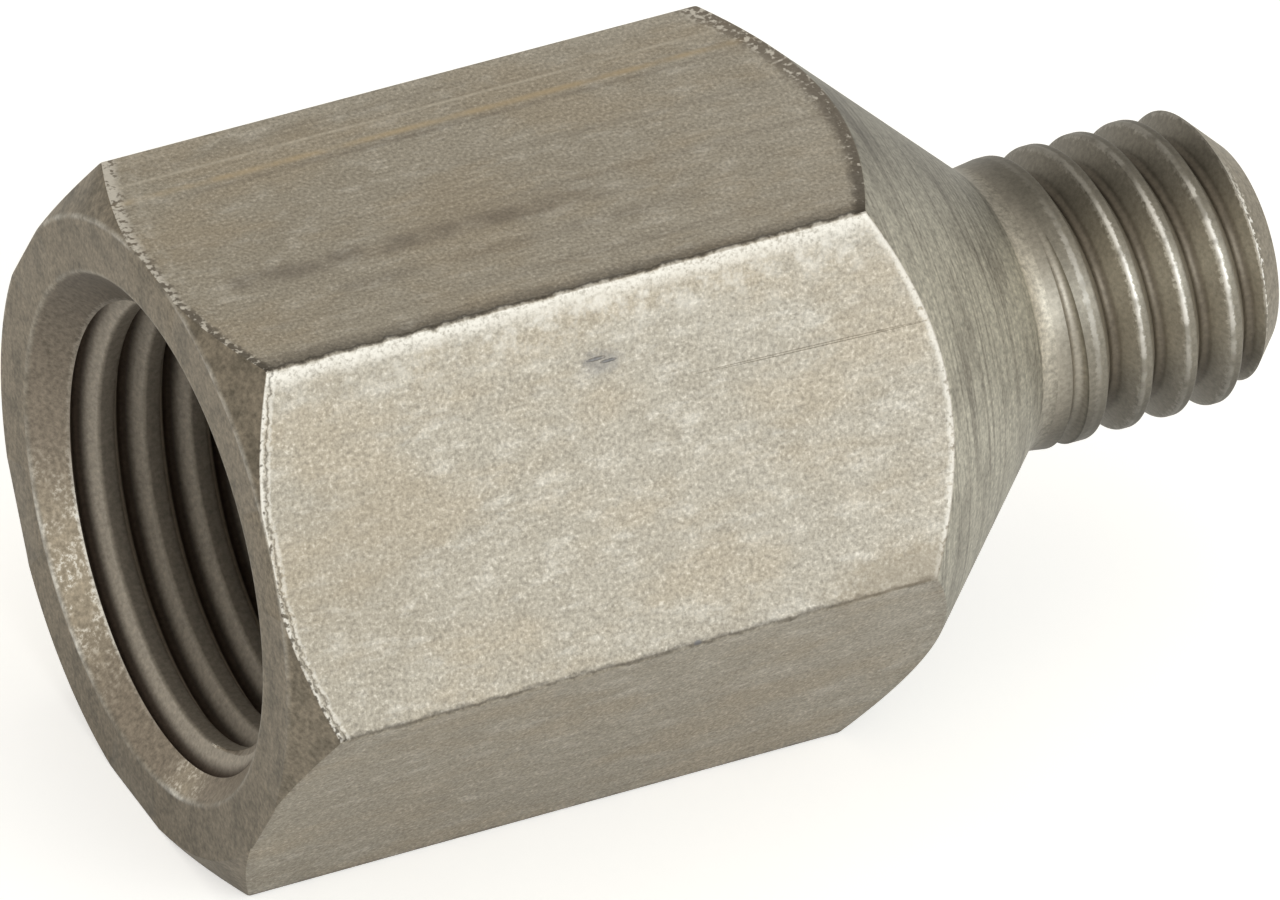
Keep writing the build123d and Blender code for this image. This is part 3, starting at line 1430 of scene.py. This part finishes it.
@dataclass(frozen=True, kw_only=True)
class CutThread(SteelFinish):
    """A thread cut in stainless steel, with grey lands, satin flanks and darker roots.

    The roots are darkened with painted shade.
    """

    crest_radius: float
    root_radius: float
    grain_size: float = 0.1 * MM
    grain_contrast: float = 0.2
    relief: float = 0.004 * MM
    land: str
    flank: str
    root: str
    lands: Ramp = Ramp(0.14, 0.02)
    roots: Ramp

    def paint(self, at: Places, grain: Node) -> Coat:
        """Draws the lands, the flanks and the roots.

        Args:
            at: Place of the point.
            grain: Fine grain of the steel.

        Returns:
            The coat of the shader.
        """
        add = at.add
        depth = add("MapRange", Ramp(self.crest_radius, self.root_radius).over(at.radius))
        colour = linear(self.flank)
        # Painted shade: the colour darkens towards the roots
        for ramp, tint in ((self.lands, self.land), (self.roots, self.root)):
            shown = add("MapRange", ramp.over(depth), **SOFT)
            colour = add("MixRGB", shown, colour, linear(tint))
        return Coat(self.grained(at, grain, colour), self.roughness, grain)


@dataclass(frozen=True, kw_only=True)
class TappedThread(CutThread):
    """The thread that a tap left in the hole, duller than the stud's and dark in its roots.

    The dark in its roots is painted shade.
    """

    name: str = "tapped_stainless_steel"
    land: str = "#9f988e"
    flank: str = "#c1bab0"
    root: str = "#5a4f46"
    roots: Ramp = Ramp(0.42, 1.0)
    roughness: float = 0.75


@dataclass(frozen=True, kw_only=True)
class DieCutThread(CutThread):
    """The thread that a die left on the stud.

    The burr that it pushed up along the crests, and at the end, is ragged, and painted bright as a
    highlight where it faces the light. A painted sheen darkens the thread away from that side.
    """

    stud: ThreadedStud
    end_rim: float
    name: str = "die_cut_stainless_steel"
    land: str = "#979287"
    flank: str = "#b3ada1"
    root: str = "#7d7569"
    roots: Ramp = Ramp(0.74, 1.0)
    roughness: float = 0.45
    sheen: Sheen = Sheen(
        math.radians(75), 0.5, reach_above=math.radians(45), plateau=math.radians(40))
    # Burr along the crests and at the end, painted white as a highlight where it faces the light
    burr_highlight: str = "#f5f2ec"
    burr_roughness: float = 0.5
    burr_phase: float = 0.405
    burr_share: float = 0.085
    burr_core: float = burr_share / 3
    burr_stray: float = burr_share * 2
    burr_sheen: Sheen = Sheen(math.radians(68), 0.48)
    burr_caught: Ramp = Ramp(0.48, 0.9, least=0.16)
    burr_first: float = 0.35
    wear_size: float = 0.45 * MM
    wear: Ramp = Ramp(0.34, 0.54, least=0.2)

    def helix_phase(self, at: Places) -> Node:
        """Measures how far a point is from the groove's middle, along the axis.

        Args:
            at: Place of the point.

        Returns:
            The distance as a share of the pitch, from nought up to one.
        """
        add = at.add
        run = add("Math", at.along, self.stud.first_groove, operation="SUBTRACT")
        pitches = add("Math", run, self.stud.form.pitch, operation="DIVIDE")
        turned = add("Math", at.angle, math.pi / 2, operation="SUBTRACT")
        turns = add("Math", turned, FULL_TURN, operation="DIVIDE")
        phases = add("Math", pitches, turns, operation="SUBTRACT")
        return add("Math", phases, operation="FRACT")

    def find_burr_highlight(self, at: Places, grain: Node) -> Node:
        """Finds the ragged burr along the helix and at the end of the thread.

        Its brightness is a painted highlight, full where it faces the light.

        Args:
            at: Place of the point.
            grain: Fine grain of the steel.

        Returns:
            A node that is one on the burr where it faces the light, less elsewhere on the burr,
            and nought off it.
        """
        add = at.add
        pitch = self.stud.form.pitch
        strayed = add("Math", grain, NOISE_MEAN, operation="SUBTRACT")
        stray = add("Math", strayed, self.burr_stray, operation="MULTIPLY")
        ragged = add("Math", self.helix_phase(at), stray, operation="ADD")
        line = Band(self.burr_phase, self.burr_share, core=self.burr_core).over(at, ragged)
        first = self.stud.first_full_crest
        start = Ramp(first, first + pitch / 2, least=self.burr_first)
        begun = add("MapRange", start.over(at.along), **SOFT)
        helix = add("Math", line, begun, operation="MULTIPLY")

        # Where the thread meets the chamfer at its end, the place and the radius have the same sum
        wander = add("Math", stray, pitch, operation="MULTIPLY")
        outwards = add("Math", at.along, at.radius, operation="ADD")
        place = add("Math", outwards, wander, operation="ADD")
        width = self.burr_share * pitch
        edge = self.end_rim + self.crest_radius
        rim = add("MapRange", Ramp(edge - width, edge - width / 2).over(place), **SOFT)
        burr_highlight = add("Math", helix, rim, operation="MAXIMUM")

        wear = add("TexNoise", {"Vector": at.point, "Scale": 1 / self.wear_size, "Detail": 3.0})
        left = add("MapRange", self.wear.over(wear), **SOFT)
        # Painted highlight: the burr is brightest where it faces the light
        caught = add("MapRange", self.burr_caught.over(self.burr_sheen.share(at)), **SOFT)
        for share in (left, caught):
            burr_highlight = add("Math", burr_highlight, share, operation="MULTIPLY")
        return burr_highlight

    def paint(self, at: Places, grain: Node) -> Coat:
        """Draws the thread with its painted sheen, and its burr painted bright as a highlight.

        Args:
            at: Place of the point.
            grain: Fine grain of the steel.

        Returns:
            The coat of the shader.
        """
        add = at.add
        cut = super().paint(at, grain)
        lit = add("MixRGB", 1.0, cut.colour, self.sheen.share(at), blend_type="MULTIPLY")
        burr_highlight = self.find_burr_highlight(at, grain)
        colour = add("MixRGB", burr_highlight, lit, linear(self.burr_highlight))
        rough = add("MapRange", Ramp(0.0, 1.0, self.burr_roughness, self.roughness).over(burr_highlight))
        return Coat(colour, rough, cut.height)


@dataclass
class ThreadedExtension:
    """The whole piece: body, tapped hole, threaded stud and the knocks that it has taken."""

    body: HexagonBody
    hole: TappedHole
    stud: ThreadedStud
    knocks: tuple[Knock, ...] = (
        Knock(7.5 * MM, -2.28 * MM, 0.42 * MM, 0.08 * MM),
        Knock(7.74 * MM, -2.19 * MM, 0.36 * MM, 0.07 * MM),
        Knock(11.97 * MM, -1.4 * MM, 5.2 * MM, 0.06 * MM, slant=math.radians(2)),
    )
    chamfer_lean: float = 0.6
    flat_lean: float = 0.3
    flat_reach_share: float = 0.48
    sink_tolerance: float = 0.03 * MM

    def finish_at(self, centre: Vector, normal: Vector) -> Finish:
        """Says how the surface at a face was made.

        Args:
            centre: Middle of the face.
            normal: The way that it faces.

        Returns:
            Its finish.
        """
        along = centre.x - CAD_BOX[0].x
        radius = math.hypot(centre.y, centre.z)
        body, sink_radius = self.body, self.hole.countersink_radius
        chamfered = along > body.length - body.stud_chamfer and normal.x > self.chamfer_lean
        if along > body.shoulder_length + body.neck_length / 2 and not chamfered:
            return Finish.THREADED
        facing_in = normal.y * centre.y + normal.z * centre.z < 0
        countersunk = abs(along + radius - sink_radius) < self.sink_tolerance
        if along < body.length / 2 and radius < sink_radius and facing_in and not countersunk:
            return Finish.TAPPED
        if abs(normal.x) < self.flat_lean and radius > body.across_flats * self.flat_reach_share:
            return Finish.DRAWN
        return Finish.TURNED

    def build(self) -> bpy.types.Object:
        """Makes the piece's mesh.

        Returns:
            The piece.
        """
        piece = self.body.build()
        self.hole.cut_into(piece)
        self.stud.cut_into(piece)
        for knock in self.knocks:
            knock.cut_into(piece, self.body.across_flats / 2)
        log.info("%d knocks cut into the flats", len(self.knocks))
        select_only(piece)
        bpy.ops.object.shade_smooth_by_angle(angle=SMOOTH_ANGLE)
        bpy.ops.object.modifier_add(type="WEIGHTED_NORMAL")
        piece.modifiers[-1].keep_sharp = True
        bpy.ops.object.modifier_apply(modifier=piece.modifiers[-1].name)
        return piece

    def dress(self, piece: bpy.types.Object) -> None:
        """Gives each face of the piece its finish.

        Args:
            piece: The piece, with its mesh complete.
        """
        body, hole, stud = self.body, self.hole, self.stud
        finishes = {
            Finish.DRAWN: DrawnFlats(body=body),
            Finish.TURNED: TurnedFaces(body=body, sink_radius=hole.countersink_radius),
            Finish.TAPPED: TappedThread(
                crest_radius=hole.bore_radius, root_radius=hole.bore_radius + hole.form.depth()),
            Finish.THREADED: DieCutThread(
                crest_radius=stud.radius, root_radius=stud.radius - stud.form.depth(),
                stud=stud, end_rim=body.length - body.stud_chamfer),
        }
        piece.data.materials.clear()
        for finish in Finish:
            piece.data.materials.append(finishes[finish].material())
        for face in piece.data.polygons:
            face.material_index = self.finish_at(face.center, face.normal).value
        self.mark_inner_edge(piece)
        log.info("%s dressed in %d finishes", piece.name, len(finishes))

    def mark_inner_edge(self, piece: bpy.types.Object) -> None:
        """Marks the edge where the countersink meets the thread: one there, nought at its rim.

        Args:
            piece: The piece, with a finish on each face.
        """
        corners = {finish.value: set() for finish in Finish}
        for face in piece.data.polygons:
            corners[face.material_index].update(face.vertices)
        ramp = piece.data.attributes.new(EDGE_RAMP, "FLOAT", "POINT")
        for corner in corners[Finish.TAPPED.value] & corners[Finish.TURNED.value]:
            ramp.data[corner].value = 1.0


@dataclass(frozen=True)
class Studio:
    """Pale floor, soft light and the camera."""

    floor_height: float
    aim: Vector = field(default_factory=lambda: Vector((-3.639, -4.813, 2.973)) * MM)
    distance: float = 470 * MM
    azimuth: float = math.radians(-117.99)
    elevation: float = math.radians(37.05)
    roll: float = math.radians(2.578)
    lens: float = 678.68
    sensor_width: float = 36.0
    near_share: float = 0.01
    floor_size: float = 3.0
    floor_colour: str = "#efefee"
    floor_glow: float = 0.5
    reflected_share: float = 0.3
    surroundings: str = "#dbd7ce"
    backdrop: str = "#ffffff"
    key_place: Vector = field(default_factory=lambda: Vector((0.17, -0.62, 0.36)))
    key_width: float = 0.7
    key_height: float = 0.3
    key_power: float = 1.46
    key_colour: str = "#f4fbff"

    def add_camera(self) -> None:
        """Sets the camera at the viewing angle."""
        data = bpy.data.cameras.new("camera")
        data.lens = self.lens
        data.sensor_width = self.sensor_width
        data.sensor_fit = "HORIZONTAL"
        data.clip_start = self.distance * self.near_share
        camera = bpy.data.objects.new("camera", data)
        level = math.cos(self.elevation)
        back = Vector((
            level * math.cos(self.azimuth), level * math.sin(self.azimuth),
            math.sin(self.elevation)))
        turn = back.to_track_quat("Z", "Y") @ Quaternion((0, 0, 1), self.roll)
        place = Matrix.Translation(self.aim + back * self.distance)
        camera.matrix_world = place @ turn.to_matrix().to_4x4()
        bpy.context.scene.collection.objects.link(camera)
        bpy.context.scene.camera = camera

    def seen_directly(self, nodes: NodeSheet) -> Node:
        """Tells rays that show the background, straight or in a reflection, from those that light.

        Args:
            nodes: Sheet that asks.

        Returns:
            A node that is one for rays from the camera, and a share for reflected and refracted
            ones.
        """
        rays = nodes.add("LightPath").outputs
        mirrored = nodes.add(
            "Math", rays["Is Glossy Ray"], rays["Is Transmission Ray"], operation="MAXIMUM")
        dimmed = nodes.add("Math", mirrored, self.reflected_share, operation="MULTIPLY")
        return nodes.add("Math", rays["Is Camera Ray"], dimmed, operation="MAXIMUM")

    def add_floor(self) -> None:
        """Lays the floor under the piece."""
        bpy.ops.object.select_all(action="DESELECT")
        bpy.ops.mesh.primitive_plane_add(size=self.floor_size)
        floor = bpy.context.object
        floor.name = "floor"
        bpy.ops.object.mode_set(mode="EDIT")
        bpy.ops.mesh.select_all(action="SELECT")
        bpy.ops.transform.translate(value=(0, 0, self.floor_height))
        bpy.ops.object.mode_set(mode="OBJECT")
        # Matt pale board: it scatters the light, and glows where it is the background.
        material = bpy.data.materials.new("matt_pale_board")
        nodes = NodeSheet(material)
        matt = nodes.add("BsdfDiffuse", {"Color": linear(self.floor_colour)})
        shown = self.seen_directly(nodes)
        strength = nodes.add("Math", shown, self.floor_glow, operation="MULTIPLY")
        glow = nodes.add("Emission", {"Strength": strength})
        both = nodes.add("AddShader", matt, glow)
        nodes.add("OutputMaterial", {"Surface": both})
        floor.data.materials.append(material)
        floor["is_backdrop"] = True

    def add_light(self) -> None:
        """Adds the surroundings and one broad soft lamp in front."""
        world = bpy.data.worlds.new("surroundings")
        nodes = NodeSheet(world)
        rays = nodes.add("LightPath").outputs
        room = nodes.add("Background", {"Color": linear(self.surroundings)})
        white = nodes.add("Background", {"Color": linear(self.backdrop)})
        seen = nodes.add("MixShader", rays["Is Camera Ray"], room, white)
        nodes.add("OutputWorld", {"Surface": seen})
        bpy.context.scene.world = world
        data = bpy.data.lights.new("key_softbox", "AREA")
        data.shape = "RECTANGLE"
        data.size = self.key_width
        data.size_y = self.key_height
        data.energy = self.key_power
        data.color = linear(self.key_colour)[:3]
        lamp = bpy.data.objects.new("key_softbox", data)
        aim = self.key_place.to_track_quat("Z", "Y").to_matrix().to_4x4()
        lamp.matrix_world = Matrix.Translation(self.key_place) @ aim
        bpy.context.scene.collection.objects.link(lamp)

    def build(self) -> None:
        """Sets up the floor, the light and the camera."""
        bpy.context.scene.view_settings.view_transform = "Standard"
        self.add_floor()
        self.add_light()
        self.add_camera()
        log.info("floor, light and camera set up")


def mount_radius(name: str) -> float:
    """Gives the radius of one of the record's mounts, found by its name."""
    found = next(mount for mount in frame["record"]["mounts"] if mount["name"] == name)
    return found["dims"]["r_mm"] * MM


def main() -> None:
    """Builds the piece and the studio."""
    logging.basicConfig(level=logging.INFO, format="%(name)s: %(message)s")
    low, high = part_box(NODE)
    body = HexagonBody(
        length=high.x - low.x, across_flats=high.z - low.z, stud_radius=mount_radius("stud"))
    hole = TappedHole(bore_radius=mount_radius("tapped_hole"))
    stud = ThreadedStud(radius=body.stud_radius, end=body.length)
    extension = ThreadedExtension(body, hole, stud)
    piece = extension.build()
    extension.dress(piece)
    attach(piece, BODY)
    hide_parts(NODE)
    Studio(floor_height=low.z).build()
    boxes = {"cad": CAD_BOX, "visual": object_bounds()}
    {name: [list(corner) for corner in box] for name, box in boxes.items()}


if __name__ == "__main__":
    main()
